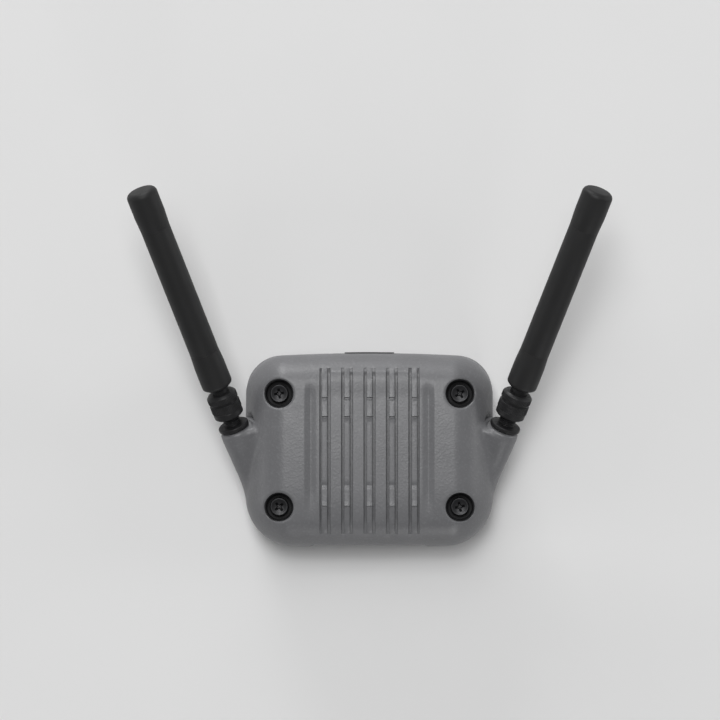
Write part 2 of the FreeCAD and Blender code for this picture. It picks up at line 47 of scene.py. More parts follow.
# ---------------------------------------------------------------- dimensions, mm
HALF_W, Y_TOP, Y_BOT = 37.5, 29.0, -29.9
R_TOP, R_BOT, C_TOP, C_BOT = 500.0, 800.0, 11.0, 14.0
Z_SPLIT, Z_TOP, Z_ROOF, WALL = 5.5, 24.0, 19.6, 2.0
RIM_R = 8.6                       # rounding between walls and facets
PAD_OUT = 26.3                    # side facet starts here
SIDE_SLOPE = math.tan(math.radians(19.0))
TOPF_Y, TOPF_SLOPE = 20.2, 0.165  # top facet
RIB_END_Y, RIB_END_SLOPE = 23.5, 0.60   # rounded upper ends of the wide ribs
CH_OUT, CH_LOW, CH_IN = 19.5, 17.75, 15.7
RIB_DROP = 0.3
SCREW_X, SCREW_Y1, SCREW_Y2 = 27.2, 16.8, -17.3
SEAT_Z = 18.0
MX, MY, MZ = 40.8, 6.5, 17.2
PLAN, TILT = 20.7, 20.5
BOSS_R, WEB = 4.55, 3.4            # round boss, and how far its web reaches inwards
T_CAP, T_SLEEVE, T_TIP, T_END = 13.8, 26.0, 67.6, 80.2
CAP_R, SLEEVE_R = 4.66, 4.40
PITCH = 0.7056


def axis(side):
    p, t = math.radians(PLAN), math.radians(TILT)
    return np.array([side * math.sin(p) * math.cos(t), math.cos(p) * math.cos(t), math.sin(t)])


def place(side):
    """Local +Z runs along the antenna from the boss mouth; matrix in metres for meshes made in mm."""
    a = Vector(axis(side))
    y = (Vector((0, 0, 1)) - a * a.z).normalized()
    x = y.cross(a)
    m = Matrix(((x.x, y.x, a.x, side * MX), (x.y, y.y, a.y, MY), (x.z, y.z, a.z, MZ), (0, 0, 0, 1)))
    return Matrix.Scale(MM, 4) @ m


# ------------------------------------------------------------------- mesh helpers
def new_object(name, verts, faces, matrix=None, smooth=None):
    me = bpy.data.meshes.new(name)
    me.from_pydata([tuple(map(float, v)) for v in verts], [], [tuple(int(i) for i in f) for f in faces])
    me.validate()
    me.transform(matrix if matrix is not None else Matrix.Scale(MM, 4))
    o = bpy.data.objects.new(name, me)
    scene.collection.objects.link(o)
    if smooth is not None:
        shade(o, smooth)
    return o


def shade(o, degrees):
    me = o.data
    bm = bmesh.new()
    bm.from_mesh(me)
    lim = math.radians(degrees)
    for f in bm.faces:
        f.smooth = True
    for e in bm.edges:
        e.smooth = len(e.link_faces) == 2 and e.calc_face_angle(0.0) < lim
    bm.to_mesh(me)
    bm.free()


def tidy(o, dist=1e-7):
    bm = bmesh.new()
    bm.from_mesh(o.data)
    bmesh.ops.remove_doubles(bm, verts=bm.verts, dist=dist)
    bmesh.ops.recalc_face_normals(bm, faces=bm.faces)
    bm.to_mesh(o.data)
    bm.free()
    return o


def lathe(name, profile, matrix, segs=96, angle=None, modulate=None):
    """Closed solid of revolution about local Z from (r, z) points; r may be changed by modulate(theta, index)."""
    verts, faces, rings = [], [], []
    for i, (r, z) in enumerate(profile):
        if r <= 1e-9:
            rings.append([len(verts)])
            verts.append((0, 0, z))
        else:
            ring = []
            for k in range(segs):
                th = 2 * math.pi * k / segs
                rr = modulate(th, i, r, z) if modulate else r
                ring.append(len(verts))
                verts.append((rr * math.cos(th), rr * math.sin(th), z))
            rings.append(ring)
    n = len(rings)
    for i in range(n):
        a, b = rings[i], rings[(i + 1) % n]
        if i == n - 1 and len(a) == 1 and len(b) == 1:
            continue
        for k in range(segs):
            k2 = (k + 1) % segs
            if len(a) == 1 and len(b) == 1:
                continue
            if len(a) == 1:
                faces.append((a[0], b[k2], b[k]))
            elif len(b) == 1:
                faces.append((a[k], a[k2], b[0]))
            else:
                faces.append((a[k], a[k2], b[k2], b[k]))
    o = new_object(name, verts, faces, matrix)
    tidy(o)
    shade(o, 35 if angle is None else angle)
    return o


def rounded(profile, radii, n=4):
    """A closed (r, z) profile with its corners rounded; radii per point, 0 keeps a corner."""
    out = []
    m = len(profile)
    for i in range(m):
        p = Vector(profile[i])
        r = radii[i] if isinstance(radii, (list, tuple)) else radii
        if r <= 0:
            out.append(tuple(p))
            continue
        a, b = Vector(profile[i - 1]), Vector(profile[(i + 1) % m])
        u, v = (a - p), (b - p)
        la, lb = u.length, v.length
        u.normalize(), v.normalize()
        ang = math.acos(max(-1, min(1, u.dot(v))))
        if ang > math.radians(176):
            out.append(tuple(p))
            continue
        cut = min(r / math.tan(ang / 2), 0.48 * la, 0.48 * lb)
        rr = cut * math.tan(ang / 2)
        c = p + (u + v).normalized() * (rr / math.sin(ang / 2))
        s, e = p + u * cut - c, p + v * cut - c
        turn = s.angle_signed(e) if s.length > 0 else 0
        for k in range(n + 1):
            t = -turn * k / n
            out.append((c.x + s.x * math.cos(t) - s.y * math.sin(t), c.y + s.x * math.sin(t) + s.y * math.cos(t)))
    return out


def boolean(o, cutter, op="DIFFERENCE"):
    mod = o.modifiers.new("b", "BOOLEAN")
    mod.operation, mod.object, mod.solver = op, cutter, "MANIFOLD"
    dg = bpy.context.evaluated_depsgraph_get()
    me = bpy.data.meshes.new_from_object(o.evaluated_get(dg))
    o.modifiers.clear()
    old = o.data
    o.data = me
    bpy.data.meshes.remove(old)
    bpy.data.objects.remove(cutter)
    return o


# ------------------------------------------------------------------ outer surface
def rint(a, b, r):
    return np.minimum(np.maximum(a, b), -r) + np.sqrt(np.maximum(a + r, 0) ** 2 + np.maximum(b + r, 0) ** 2)


def smin(a, b, k):
    h = np.maximum(k - np.abs(a - b), 0) / k
    return np.minimum(a, b) - h * h * k * 0.25


def smax(a, b, k):
    return -smin(-a, -b, k)


def outline_distance(x, y):
    ax = np.abs(x) - HALF_W
    top = np.sqrt(x * x + (y - (Y_TOP - R_TOP)) ** 2) - R_TOP
    bot = np.sqrt(x * x + (y - (Y_BOT + R_BOT)) ** 2) - R_BOT
    return np.maximum(rint(ax, top, C_TOP), rint(ax, bot, C_BOT))


Y_FLAT = -6.0


def crown(y):
    """Drop of the panel below its crest, along Y."""
    up = np.maximum(y - Y_FLAT, 0)
    dn = np.maximum(Y_FLAT - y, 0)
    dn2 = np.maximum(-10.0 - y, 0)
    return up * up / (2 * 290.0) + dn * dn / (2 * 400.0) + dn2 * dn2 / (2 * 75.0)


def step(v, a, b):
    w = np.clip((v - a) / (b - a), 0, 1)
    return w * w * (3 - 2 * w)


def panel(x, y):
    """Height of the outer surface before the rim is rounded, without channel and ribs."""
    ax = np.abs(x)
    side = (ax - PAD_OUT) * SIDE_SLOPE
    drop = smax((y - TOPF_Y) * TOPF_SLOPE, np.zeros_like(ax), 0.35)
    wide = np.maximum(step(ax, 1.0, 1.6) - step(ax, 5.15, 5.75), step(ax, 7.7, 8.3) - step(ax, 11.9, 12.5))
    end = smax((y - RIB_END_Y) * RIB_END_SLOPE, np.zeros_like(ax), 0.3)
    drop = drop + (smin(drop, end, 0.25) - drop) * wide
    return Z_TOP - crown(y) - smax(side, np.zeros_like(side), 0.45) - drop


def channel(x, y):
    """Depth of the sunk band on each side of the ribs, and of the ribs' tops below the panel."""
    ax = np.abs(x)
    low = (CH_OUT - CH_LOW) * 0.46
    outer = smin(smax((CH_OUT - ax) * 0.46, np.zeros_like(ax), 0.12), np.full_like(ax, low), 0.2)
    inner = smax(low - (CH_LOW - ax) * 0.27, np.full_like(ax, RIB_DROP), 0.12)
    d = np.where(ax < CH_LOW, smin(inner, np.full_like(ax, low), 0.2), outer)
    fade = np.clip((21.5 - y) / 6.0, 0, 1) * np.clip((y + 22.0) / 12.0, 0, 1)
    return d * fade * fade * (3 - 2 * fade)


def boss_distance(x, y, z):
    a = axis(1)
    px, py, pz = np.abs(x) - MX, y - MY, z - MZ
    t = px * a[0] + py * a[1] + pz * a[2]
    r = np.sqrt(np.maximum(px * px + py * py + pz * pz - t * t, 0))
    cone = r - (BOSS_R + 0.042 * t)
    h = math.hypot(a[0], a[1])
    u = (py * a[0] - px * a[1]) / h
    uu = np.maximum(u - WEB, 0) * (u > 0) + u * (u <= 0)
    web = np.sqrt(np.maximum(r * r - u * u, 0) + uu * uu) - (BOSS_R - 0.1 + 0.042 * t)
    return t, r, cone, web


def body_distance(x, y, z):
    x = np.asarray(x, np.float32); y = np.asarray(y, np.float32); z = np.asarray(z, np.float32)
    d2 = outline_distance(x, y)
    h = panel(x, y) - channel(x, y)
    up = (z - h) * 0.955
    d = rint(d2, up, RIM_R)
    t, r, cone, web = boss_distance(x, y, z)
    web = np.maximum(rint(web, t + 1.0, 1.6), -22 - t)
    d = smin(d, web, 2.2)
    boss = np.maximum(rint(cone, t, 1.3), -28 - t)
    d = smin(d, boss, 1.5)
    relief = np.maximum(r - 4.76, -0.02 - t)
    d = smax(d, -relief, 1.3)
    d = smax(d, t * 1.0 - 0.0 + np.where(r < 6.5, 0, -99), 0.01)
    # recess of the connectors, across the bottom wall
    ax = np.abs(x)
    rec = np.maximum(y + 29.1, (ax - 16.6) * 0.47 + (y + 29.1) * 0.88)
    d = smax(d, -rec, 0.25)
    # pockets of the screws, with a softly rounded lip
    for yy in (SCREW_Y1, SCREW_Y2):
        q = np.sqrt((ax - SCREW_X) ** 2 + (y - yy) ** 2)
        pocket = np.maximum(q - 4.3, SEAT_Z - 0.5 - z)
        d = smax(d, -pocket, 0.9)
    return d


def surface_z(x, y, lo=12.0, hi=25.0):
    """Height of the outer surface at (x, y), by bisection."""
    x, y = np.broadcast_arrays(np.asarray(x, float), np.asarray(y, float))
    a, b = np.full(x.shape, lo), np.full(x.shape, hi)
    for _ in range(24):
        m = (a + b) / 2
        inside = body_distance(x, y, m) < 0
        a, b = np.where(inside, m, a), np.where(inside, b, m)
    return (a + b) / 2


def gradient(x, y, z, e=0.02):
    g = np.stack([body_distance(x + e, y, z) - body_distance(x - e, y, z),
                  body_distance(x, y + e, z) - body_distance(x, y - e, z),
                  body_distance(x, y, z + e) - body_distance(x, y, z - e)], 1)
    return g / np.maximum(np.linalg.norm(g, axis=1, keepdims=True), 1e-9)


def skin(voxel):
    """The outer solid as quads, each vertex moved onto the exact surface."""
    xs = np.arange(-46.5, 46.5 + voxel, voxel)
    ys = np.arange(-31.5, 31.0 + voxel, voxel)
    zs = np.arange(3.1, 25.6 + voxel, voxel)
    f = body_distance(xs[:, None, None], ys[None, :, None], zs[None, None, :])
    f = np.maximum(np.clip(f, -3 * voxel, 3 * voxel), (4.0 - zs)[None, None, :])
    grid = vdb.FloatGrid(3 * voxel)
    grid.copyFromArray(f.astype(np.float32))
    pts, tris, quads = grid.convertToPolygons(isovalue=0.0, adaptivity=0.0)
    p = pts.astype(float) * voxel + np.array([xs[0], ys[0], zs[0]])
    up = p[:, 2] > 4.6
    for _ in range(3):
        q = p[up]
        d = body_distance(q[:, 0], q[:, 1], q[:, 2]).astype(float)
        p[up] = q - gradient(q[:, 0], q[:, 1], q[:, 2]) * np.clip(d, -0.2, 0.2)[:, None] * 0.9
    return p, quads[:, ::-1]


def slab(name, x0, x1, y0, y1, z0, z1):
    v = [(x, y, z) for x in (x0, x1) for y in (y0, y1) for z in (z0, z1)]
    f = [(0, 1, 3, 2), (4, 6, 7, 5), (0, 4, 5, 1), (2, 3, 7, 6), (0, 2, 6, 4), (1, 5, 7, 3)]
    return new_object(name, v, f)


def strip_solid(name, sections):
    """Closed solid through a list of equal-length closed sections (arrays of xyz)."""
    n, m = len(sections), len(sections[0])
    verts = [tuple(p) for s in sections for p in s]
    faces = [(i * m + k, i * m + (k + 1) % m, (i + 1) * m + (k + 1) % m, (i + 1) * m + k) for i in range(n - 1) for k in range(m)]
    faces += [tuple(range(m - 1, -1, -1)), tuple((n - 1) * m + k for k in range(m))]
    o = new_object(name, verts, faces)
    bm = bmesh.new()
    bm.from_mesh(o.data)
    bmesh.ops.recalc_face_normals(bm, faces=bm.faces)
    bmesh.ops.triangulate(bm, faces=[f for f in bm.faces if len(f.verts) > 4])
    bm.to_mesh(o.data)
    bm.free()
    return o


def tube_cutter(name, r, p0, direction, length, segs=48, r2=None):
    d = Vector(direction).normalized()
    x = d.orthogonal().normalized()
    y = d.cross(x)
    secs = []
    for t, rr in ((0, r), (length, r if r2 is None else r2)):
        c = Vector(p0) + d * t
        secs.append([tuple(c + x * rr * math.cos(2 * math.pi * k / segs) + y * rr * math.sin(2 * math.pi * k / segs)) for k in range(segs)])
    return strip_solid(name, secs)


def slot_ring(hx, hz, r, n=8):
    out = []
    for cx, cz, a0 in ((hx - r, hz - r, 0), (-hx + r, hz - r, 90), (-hx + r, -hz + r, 180), (hx - r, -hz + r, 270)):
        for k in range(n + 1):
            a = math.radians(a0 + 90 * k / n)
            out.append((cx + r * math.cos(a), cz + r * math.sin(a)))
    return out


def outline_points(off, n=8):
    """Body outline, inset by off, as points (x, y)."""
    rt, rb, ct, cb = R_TOP - off, R_BOT - off, C_TOP - off, C_BOT - off
    tcy, bcy = Y_TOP - R_TOP, Y_BOT + R_BOT
    cx1, cx2 = HALF_W - C_TOP, HALF_W - C_BOT
    cy1 = tcy + math.sqrt((R_TOP - C_TOP) ** 2 - cx1 ** 2)
    cy2 = bcy - math.sqrt((R_BOT - C_BOT) ** 2 - cx2 ** 2)
    a1, a2 = math.atan2(cy1 - tcy, cx1), math.atan2(cy2 - bcy, cx2)
    half = []
    for k in range(13):                      # bottom bow, from the middle
        t = -math.pi / 2 + (a2 + math.pi / 2) * k / 12
        half.append((rb * math.cos(t), bcy + rb * math.sin(t)))
    for k in range(1, 3 * n + 1):
        t = a2 * (1 - k / (3 * n))
        half.append((cx2 + cb * math.cos(t), cy2 + cb * math.sin(t)))
    for k in range(0, 3 * n + 1):
        t = a1 * k / (3 * n)
        half.append((cx1 + ct * math.cos(t), cy1 + ct * math.sin(t)))
    for k in range(1, 13):
        t = a1 + (math.pi / 2 - a1) * k / 12
        half.append((rt * math.cos(t), tcy + rt * math.sin(t)))
    return half + [(-x, y) for x, y in half[-2:0:-1]]


NARROW = [(0.0, 0.85, 1.72), (6.75, 0.85, 1.70), (13.5, 0.85, 1.60)]
SLOT_D = 1.75
SLOTS = [(-1.72, 1.72), (5.02, 8.45), (-8.45, -5.02), (11.75, 14.95), (-14.95, -11.75)]
RIBS = [-13.5, -6.75, 0.0, 6.75, 13.5]
RIB_HALF = 0.85
# steps along a narrow rib: (y, height over the wide ribs); each segment lifts towards its lower end
RIB_TOP = [(24.7, -0.03), (24.3, -0.015), (20.6, 0.0), (19.6, 0.03), (18.6, 0.08), (17.8, 0.14), (16.7, 0.26), (15.78, 0.40), (15.52, -0.22), (15.0, -0.22),
           (14.75, 0.0), (13.2, 0.04), (11.5, 0.14), (10.6, 0.26), (10.08, 0.38), (9.82, -0.14), (9.6, -0.14), (9.4, 0.36), (9.0, 0.26),
           (8.3, 0.16), (4.0, 0.12), (-2.0, 0.11), (-9.4, 0.10), (-10.2, -0.02), (-10.55, -0.2), (-11.1, -0.2), (-11.4, -0.02), (-13.4, 0.03), (-15.4, 0.17),
           (-16.82, 0.42), (-17.02, -0.16), (-20.0, -0.2), (-22.5, -0.16), (-24.6, -0.03), (-25.8, -0.02)]


def lip_section(xa, xb, za, zb, depth, r=0.17, n=4):
    """Section of a slot cutter: straight walls, small floor fillets, flared lips."""
    pts = [(xa - r - 0.12, za + 1.2), (xa - r - 0.05, za + 0.05)]
    for k in range(n + 1):
        a = math.pi / 2 * k / n
        pts.append((xa - r + r * math.sin(a), za - r + r * math.cos(a)))
    f = 0.14
    fl = min(za, zb) - depth
    for k in range(n + 1):
        a = math.pi / 2 * k / n
        pts.append((xa + f - f * math.cos(a), fl + f - f * math.sin(a)))
    for k in range(n + 1):
        a = math.pi / 2 * (1 - k / n)
        pts.append((xb - f + f * math.cos(a), fl + f - f * math.sin(a)))
    for k in range(n + 1):
        a = math.pi / 2 * (1 - k / n)
        pts.append((xb + r - r * math.sin(a), zb - r + r * math.cos(a)))
    pts += [(xb + r + 0.05, zb + 0.05), (xb + r + 0.12, zb + 1.2)]
    return pts


def make_cover():
    p, quads = skin(0.3)
    o = new_object("rear_cover_shell", p, quads)
    tidy(o)
    o = boolean(o, slab("c", -60, 60, -60, 60, -5, Z_SPLIT))
    loops = [[(x, y, z) for x, y in outline_points(off_)] for off_, z in ((-0.3, 6.08), (0.6, 5.18), (-0.3, 5.18))]
    n = len(loops[0])
    seam = new_object("c", [p_ for l in loops for p_ in l], [(i * n + k, i * n + (k + 1) % n, ((i + 1) % 3) * n + (k + 1) % n, ((i + 1) % 3) * n + k) for i in range(3) for k in range(n)])
    tidy(seam)
    o = boolean(o, seam)
    # slots between the wide ribs
    ys = np.concatenate([np.linspace(-25.9, -22.4, 13), np.linspace(-21.6, 20.6, 44), np.linspace(21.1, 24.9, 16)])
    for xa, xb in SLOTS:
        za, zb = surface_z(np.full(ys.shape, xa), ys), surface_z(np.full(ys.shape, xb), ys)
        secs = []
        for y, a, b in zip(ys, za, zb):
            ramp = min(1.0, (24.6 - y) / 3.0, (y + 25.5) / 4.6)
            depth = SLOT_D * math.sin(max(ramp, -0.15) * math.pi / 2)
            lift = 0.0 if ramp > 0 else 0.5
            secs.append([(x, y, z + lift) for x, z in lip_section(xa, xb, a, b, depth)])
        o = boolean(o, strip_solid("c", secs))
    ry = np.array([t[0] for t in RIB_TOP])
    fine = np.unique(np.concatenate([ry, np.linspace(-25.8, 24.7, 64)]))
    off = np.interp(fine, ry[::-1], np.array([t[1] for t in RIB_TOP])[::-1])
    for c in RIBS:
        zc = surface_z(np.full(fine.shape, c), fine)
        secs = []
        for y, z, d in zip(fine, zc, off):
            top, r = z + d, 0.16
            sec = [(c - RIB_HALF - 0.03, z - SLOT_D - 0.45)]
            for k in range(4):
                a = math.pi / 2 * k / 3
                sec.append((c - RIB_HALF + r - r * math.cos(a), top - r + r * math.sin(a)))
            for k in range(4):
                a = math.pi / 2 * (1 - k / 3)
                sec.append((c + RIB_HALF - r + r * math.cos(a), top - r + r * math.sin(a)))
            sec.append((c + RIB_HALF + 0.03, z - SLOT_D - 0.45))
            secs.append([(x, y, zz) for x, zz in sec])
        o = boolean(o, strip_solid("c", secs), "UNION")
    # inside
    rings = [(2.4, Z_SPLIT - 1.0), (2.4, 13.1)] + [(2.4 + 6.5 * (1 - math.cos(math.radians(a))), 13.1 + 6.5 * math.sin(math.radians(a))) for a in (15, 30, 45, 60, 75, 90)]
    cavity = strip_solid("c", [[(x, y, z) for x, y in outline_points(off_)] for off_, z in rings])
    for sx in (-1, 1):
        for y in (SCREW_Y1, SCREW_Y2):
            cavity = boolean(cavity, tube_cutter("p", 5.3, (sx * SCREW_X, y, 16.0), (0, 0, 1), 4.0))
            cavity = boolean(cavity, tube_cutter("p", 3.6, (sx * SCREW_X, y, 9.1), (0, 0, 1), 8.0))
    o = boolean(o, cavity)
    for sx in (-1, 1):
        for y in (SCREW_Y1, SCREW_Y2):
            o = boolean(o, tube_cutter("p", 1.7, (sx * SCREW_X, y, 9.0), (0, 0, 1), 9.4))
        m = Vector((sx * MX, MY, MZ))
        a = Vector(axis(sx))
        o = boolean(o, tube_cutter("p", 3.3, m - a * 18.6, a, 17.0))
        o = boolean(o, tube_cutter("p", 2.70, m - a * 2.0, a, 3.0))
    # wall openings
    def slot(hx, hz, r, cx, cz, y0, y1):
        ring = slot_ring(hx, hz, r)
        return strip_solid("s", [[(cx + u, y, cz + v) for u, v in ring] for y in (y0, y1)])
    o = boolean(o, tube_cutter("p", 3.1, (-8.2, Y_BOT - 1, 9.2), (0, 1, 0), 4, 64))
    o = boolean(o, slot(4.75, 1.9, 1.6, 7.4, 8.3, Y_BOT - 1, Y_BOT + 3.4))
    o = boolean(o, tube_cutter("p", 0.95, (0, Y_BOT - 1, 9.2), (0, 1, 0), 4, 32))
    o = boolean(o, slot(7.9, 2.5, 2.2, 0, 10.5, Y_TOP - 3.4, Y_TOP + 1))
    ring = slot_ring(2.05, 1.15, 1.1)
    o = boolean(o, strip_solid("s", [[(x, -13.9 + u, 8.0 + v) for u, v in ring] for x in (HALF_W - 4, HALF_W + 1)]))
    return o


def exact_normals(o, angle=32):
    """Smooth normals from the exact surface where a vertex lies on it, by face angle elsewhere."""
    tidy(o, 2e-7)
    shade(o, angle)
    me = o.data
    n = len(me.vertices)
    co = np.empty(n * 3)
    me.vertices.foreach_get("co", co)
    co = co.reshape(-1, 3) / MM
    d = np.abs(body_distance(co[:, 0], co[:, 1], co[:, 2]))
    on = (d < 0.012) & (co[:, 2] > Z_SPLIT + 0.02)
    g = np.zeros((n, 3))
    idx = np.where(on)[0]
    g[idx] = gradient(co[idx, 0], co[idx, 1], co[idx, 2])
    loops = len(me.loops)
    lv = np.empty(loops, int)
    me.loops.foreach_get("vertex_index", lv)
    cn = np.empty(loops * 3)
    me.corner_normals.foreach_get("vector", cn)
    cn = cn.reshape(-1, 3)
    fn = np.empty(len(me.polygons) * 3)
    me.polygons.foreach_get("normal", fn)
    fn = fn.reshape(-1, 3)
    tot = np.empty(len(me.polygons), int)
    me.polygons.foreach_get("loop_total", tot)
    lf = np.repeat(np.arange(len(me.polygons)), tot)
    dot = (fn[lf] * g[lv]).sum(1)
    use = on[lv] & (dot > 0.93)
    cn[use] = g[lv][use]
    me.normals_split_custom_set([tuple(v) for v in cn])
    return o


# --------------------------------------------------------------------- materials
def socket(node, *names):
    for n in names:
        if n in node.inputs:
            return node.inputs[n]
    raise KeyError(names)


class Mat:
    """A node material: surface colour and roughness vary a little, and a fine bump carries the grain."""

    def __init__(self, name, color, rough, metallic=0.0, specular=0.5, coat=0.0, coat_rough=0.3, sheen=0.0, ior=None, transmission=0.0, alpha=1.0):
        self.m = bpy.data.materials.new(name)
        self.m.use_nodes = True
        self.nt = self.m.node_tree
        self.nt.nodes.clear()
        self.out = self.nt.nodes.new("ShaderNodeOutputMaterial")
        self.b = self.nt.nodes.new("ShaderNodeBsdfPrincipled")
        self.nt.links.new(self.b.outputs[0], self.out.inputs[0])
        self.color, self.rough = color, rough
        b = self.b
        b.inputs["Base Color"].default_value = (*color, 1)
        b.inputs["Roughness"].default_value = rough
        b.inputs["Metallic"].default_value = metallic
        b.inputs["Specular IOR Level"].default_value = specular
        b.inputs["Coat Weight"].default_value = coat
        b.inputs["Coat Roughness"].default_value = coat_rough
        b.inputs["Sheen Weight"].default_value = sheen
        if ior:
            b.inputs["IOR"].default_value = ior
        if transmission:
            b.inputs["Transmission Weight"].default_value = transmission
        tc = self.nt.nodes.new("ShaderNodeTexCoord")
        self.co = tc.outputs["Object"]
        self.height = None

    def noise(self, size_mm, detail=2.0, rough=0.5, distort=0.0, stretch=None):
        n = self.nt.nodes.new("ShaderNodeTexNoise")
        n.inputs["Scale"].default_value = 1000.0 / size_mm
        n.inputs["Detail"].default_value = detail
        n.inputs["Roughness"].default_value = rough
        n.inputs["Distortion"].default_value = distort
        co = self.co
        if stretch is not None:
            mp = self.nt.nodes.new("ShaderNodeMapping")
            mp.inputs["Scale"].default_value = stretch
            self.nt.links.new(co, mp.inputs["Vector"])
            co = mp.outputs[0]
        self.nt.links.new(co, n.inputs["Vector"])
        return socket_out(n, "Fac", "Factor")

    def voronoi(self, size_mm, feature="F1", smooth=None, randomness=1.0):
        n = self.nt.nodes.new("ShaderNodeTexVoronoi")
        n.feature = feature
        n.inputs["Scale"].default_value = 1000.0 / size_mm
        n.inputs["Randomness"].default_value = randomness
        self.nt.links.new(self.co, n.inputs["Vector"])
        return n.outputs["Distance"]

    def ramp(self, value, lo, hi, a=0.0, b=1.0):
        r = self.nt.nodes.new("ShaderNodeMapRange")
        r.inputs["From Min"].default_value, r.inputs["From Max"].default_value = lo, hi
        r.inputs["To Min"].default_value, r.inputs["To Max"].default_value = a, b
        self.nt.links.new(value, r.inputs["Value"])
        return r.outputs["Result"]

    def math(self, op, a, b):
        n = self.nt.nodes.new("ShaderNodeMath")
        n.operation = op
        for i, v in enumerate((a, b)):
            if isinstance(v, (int, float)):
                n.inputs[i].default_value = v
            else:
                self.nt.links.new(v, n.inputs[i])
        return n.outputs[0]

    def tint(self, value, other, lo=0.35, hi=0.65):
        """Base colour runs to other where value is high."""
        mix = self.nt.nodes.new("ShaderNodeMix")
        mix.data_type = "RGBA"
        src = self.b.inputs["Base Color"]
        if src.is_linked:
            self.nt.links.new(src.links[0].from_socket, mix.inputs["A"])
        else:
            mix.inputs["A"].default_value = (*self.color, 1)
            for s in mix.inputs:
                if s.type == "RGBA" and s.name == "A":
                    s.default_value = (*self.color, 1)
        for s in mix.inputs:
            if s.type == "RGBA" and s.name == "B":
                s.default_value = (*other, 1)
            if s.type == "RGBA" and s.name == "A" and src.is_linked:
                self.nt.links.new(src.links[0].from_socket, s)
        fac = self.ramp(value, lo, hi)
        self.nt.links.new(fac, mix.inputs[0])
        res = [s for s in mix.outputs if s.type == "RGBA"][0]
        self.nt.links.new(res, src)
        return self

    def vary_rough(self, value, spread):
        r = self.ramp(value, 0.3, 0.7, max(self.rough - spread, 0.02), min(self.rough + spread, 1.0))
        self.nt.links.new(r, self.b.inputs["Roughness"])
        return self

    def bump(self, value, depth_mm, strength=1.0):
        n = self.nt.nodes.new("ShaderNodeBump")
        n.inputs["Strength"].default_value = strength
        n.inputs["Distance"].default_value = depth_mm * MM
        self.nt.links.new(value, n.inputs["Height"])
        if self.height is not None:
            self.nt.links.new(self.height, n.inputs["Normal"])
        self.height = n.outputs[0]
        self.nt.links.new(self.height, self.b.inputs["Normal"])
        return self


def socket_out(node, *names):
    for n in names:
        if n in node.outputs:
            return node.outputs[n]
    return node.outputs[0]


def moulded(name, color, rough, grain=0.38, depth=0.018, tintby=0.06, **kw):
    m = Mat(name, color, rough, **kw)
    big, fine = m.noise(9.0, 3.0), m.noise(grain, 2.0, 0.55)
    m.tint(big, tuple(c * (1 - min(tintby, 0.05)) for c in color), 0.4, 0.6)
    m.tint(fine, tuple(min(1, c * (1 + tintby)) for c in color), 0.52, 0.8)
    m.vary_rough(m.noise(4.0, 3.0), 0.035)
    m.bump(fine, depth)
    return m.m


def metal(name, color, rough, brush=None, depth=0.004, **kw):
    m = Mat(name, color, rough, metallic=kw.pop("metallic", 1.0), **kw)
    m.tint(m.noise(1.6, 3.0), tuple(c * 0.86 for c in color), 0.4, 0.62)
    m.vary_rough(m.noise(0.8, 3.0), 0.05)
    m.bump(m.noise(0.25, 2.0, 0.5, stretch=brush), depth)
    return m.m


def circuit(name):
    m = Mat(name, (0.012, 0.075, 0.04), 0.32, specular=0.5, coat=0.3)
    vein = m.voronoi(1.9, "DISTANCE_TO_EDGE", randomness=0.85)
    m.tint(m.ramp(vein, 0.0, 0.10, 1.0, 0.0), (0.03, 0.14, 0.07), 0.4, 0.6)
    dots = m.voronoi(1.3, "F1", randomness=0.6)
    m.tint(m.ramp(dots, 0.10, 0.16, 1.0, 0.0), (0.62, 0.6, 0.52), 0.5, 0.6)
    m.bump(m.ramp(vein, 0.0, 0.1, 1.0, 0.0), 0.02)
    m.vary_rough(m.noise(3.0), 0.05)
    return m.m


def foil(name):
    m = Mat(name, (0.5, 0.52, 0.56), 0.34, metallic=0.9)
    m.tint(m.noise(6.0, 4.0), (0.42, 0.44, 0.48), 0.42, 0.6)
    m.bump(m.noise(3.5, 4.0, 0.6), 0.12).bump(m.noise(0.4, 2.0), 0.006)
    m.vary_rough(m.noise(2.0), 0.06)
    return m.m


SHELL = (0.132, 0.133, 0.139)
M = {}
M["shell"] = moulded("shell_plastic", SHELL, 0.42, grain=0.7, depth=0.075, tintby=0.2)
M["base"] = moulded("base_plastic", (0.138, 0.139, 0.146), 0.5, grain=0.45, depth=0.035, tintby=0.05)
M["black_plastic"] = moulded("black_plastic", (0.018, 0.018, 0.02), 0.42, grain=0.3, depth=0.01, tintby=0.2)
M["button"] = moulded("button_rubber", (0.03, 0.03, 0.032), 0.6, grain=0.25, depth=0.012, tintby=0.15)
M["antenna"] = moulded("antenna_rubber", (0.0135, 0.0135, 0.0140), 0.55, specular=0.3, grain=0.28, depth=0.012, tintby=0.12)
M["antenna_cap"] = moulded("antenna_cap_rubber", (0.0135, 0.0135, 0.0140), 0.55, specular=0.3, grain=0.28, depth=0.012, tintby=0.12)
M["nut"] = metal("black_plate", (0.020, 0.020, 0.021), 0.46, depth=0.004, metallic=0.3, specular=0.3)
M["collar"] = metal("black_plate_collar", (0.018, 0.018, 0.019), 0.5, depth=0.005, metallic=0.3, specular=0.3)
M["screw"] = metal("black_oxide", (0.020, 0.020, 0.022), 0.40, depth=0.005, metallic=0.4, specular=0.4)
M["brass"] = metal("machined_brass", (0.72, 0.55, 0.28), 0.28, brush=(1, 1, 8))
M["steel"] = metal("tinned_steel", (0.58, 0.58, 0.6), 0.3, brush=(6, 1, 1))
M["spring"] = metal("spring_steel", (0.5, 0.5, 0.52), 0.26, brush=(1, 1, 6))
M["gold"] = metal("gold_flash", (0.83, 0.62, 0.26), 0.24)
M["cup"] = moulded("cup_rubber", (0.009, 0.009, 0.010), 0.62, grain=0.22, depth=0.01, tintby=0.2, specular=0.25)
